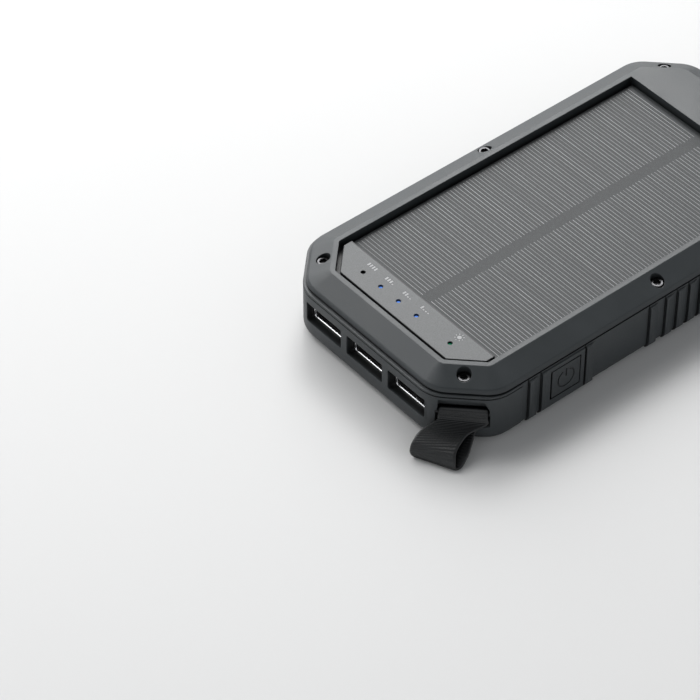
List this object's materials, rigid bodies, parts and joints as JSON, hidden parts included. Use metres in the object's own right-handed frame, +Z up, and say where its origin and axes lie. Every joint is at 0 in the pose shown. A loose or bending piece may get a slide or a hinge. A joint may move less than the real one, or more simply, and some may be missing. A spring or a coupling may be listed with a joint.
{
  "type": "solar phone charger",
  "caption": "Flat rugged power bank with a solar panel on top, USB sockets in one end, level lights, a side power button and a webbing wrist strap.",
  "frame": {"origin": "centre of the flat underside", "axes": "+Z up through the solar panel, -Y towards the USB sockets, +X towards the power button"},
  "size_m": [0.0777, 0.1506, 0.0202],
  "materials": {
    "case_plastic": "fine matte texture, soft-touch black",
    "button_rubber": "matte",
    "seal_rubber": "matte",
    "screw_steel": "black oxide",
    "insert_brass": "knurled",
    "pin_steel": "plain",
    "pin_black": "black oxide",
    "webbing": "woven nylon webbing",
    "panel_adhesive": "foam tape",
    "circuit_board": "green solder mask",
    "solar_cell": "silicon with printed fingers",
    "panel_film": "satin laminate over the cells",
    "plate_grey": "satin grey",
    "level_lens": "translucent, lit blue",
    "level_lens_off": "translucent, unlit",
    "solar_lens": "translucent, lit green",
    "lamp_white": "surface-mount lamps",
    "port_steel": "bright nickel-plated sheet",
    "port_insulator": "black",
    "contact_gold": "gold-plated",
    "chip_black": "moulded epoxy",
    "capacitor_tan": "ceramic",
    "pouch_foil": "matte laminate foil",
    "foam": "soft foam",
    "nickel": "nickel strip",
    "wire_jacket": "silicone insulation",
    "switch_white": "plain"
  },
  "bodies": {
    "charger": {"bottom_case": "case_plastic", "case_seal": "seal_rubber", "top_cover": "case_plastic", "corner_screws": "screw_steel", "side_screws": "screw_steel", "screw_inserts": "insert_brass", "strap_pin": "pin_black", "panel_tape": "panel_adhesive", "panel_board": "circuit_board", "solar_cell_right": "solar_cell", "solar_cell_left": "solar_cell", "panel_laminate": "panel_film", "indicator_plate": "plate_grey", "level_light_1": "level_lens_off", "level_light_2": "level_lens", "level_light_3": "level_lens", "level_light_4": "level_lens", "solar_light": "solar_lens", "indicator_leds": "lamp_white", "indicator_board": "circuit_board", "usb_shell_1": "port_steel", "usb_shell_2": "port_steel", "usb_shell_3": "port_steel", "usb_tongue_1": "port_insulator", "usb_tongue_2": "port_insulator", "usb_tongue_3": "port_insulator", "usb_contacts_1": "contact_gold", "usb_contacts_2": "contact_gold", "usb_contacts_3": "contact_gold", "inlet_shell": "port_steel", "inlet_tongue": "port_insulator", "main_board": "circuit_board", "board_screws": "pin_steel", "power_inductor": "chip_black", "control_chip": "chip_black", "charge_chip": "chip_black", "capacitors": "capacitor_tan", "battery_connector": "port_insulator", "panel_connector": "port_insulator", "board_header": "port_insulator", "header_pins": "pin_steel", "battery_cell_lower": "pouch_foil", "battery_cell_upper": "pouch_foil", "cell_tape": "panel_adhesive", "cell_pads_lower": "foam", "cell_pads_upper": "foam", "protection_board": "circuit_board", "cell_tabs": "nickel", "battery_leads": "wire_jacket", "panel_leads": "wire_jacket", "power_switch": "port_insulator"},
    "power_button": {"power_button": "button_rubber", "switch_plunger": "switch_white"},
    "strap": {"strap_loop": "webbing"}
  },
  "joints": [
    {"name": "power_button_press", "type": "slide", "parent": "charger", "child": "power_button", "axis": [-1, 0, 0], "range_m": [0, 0.0005], "stiffness_N_per_m": 1500},
    {"name": "strap_swing", "type": "hinge", "parent": "charger", "child": "strap", "pos_m": [0.03038, -0.06368, 0.0085], "axis": [-0.7071, -0.7071, 0], "range_deg": [0, 35]}
  ]
}
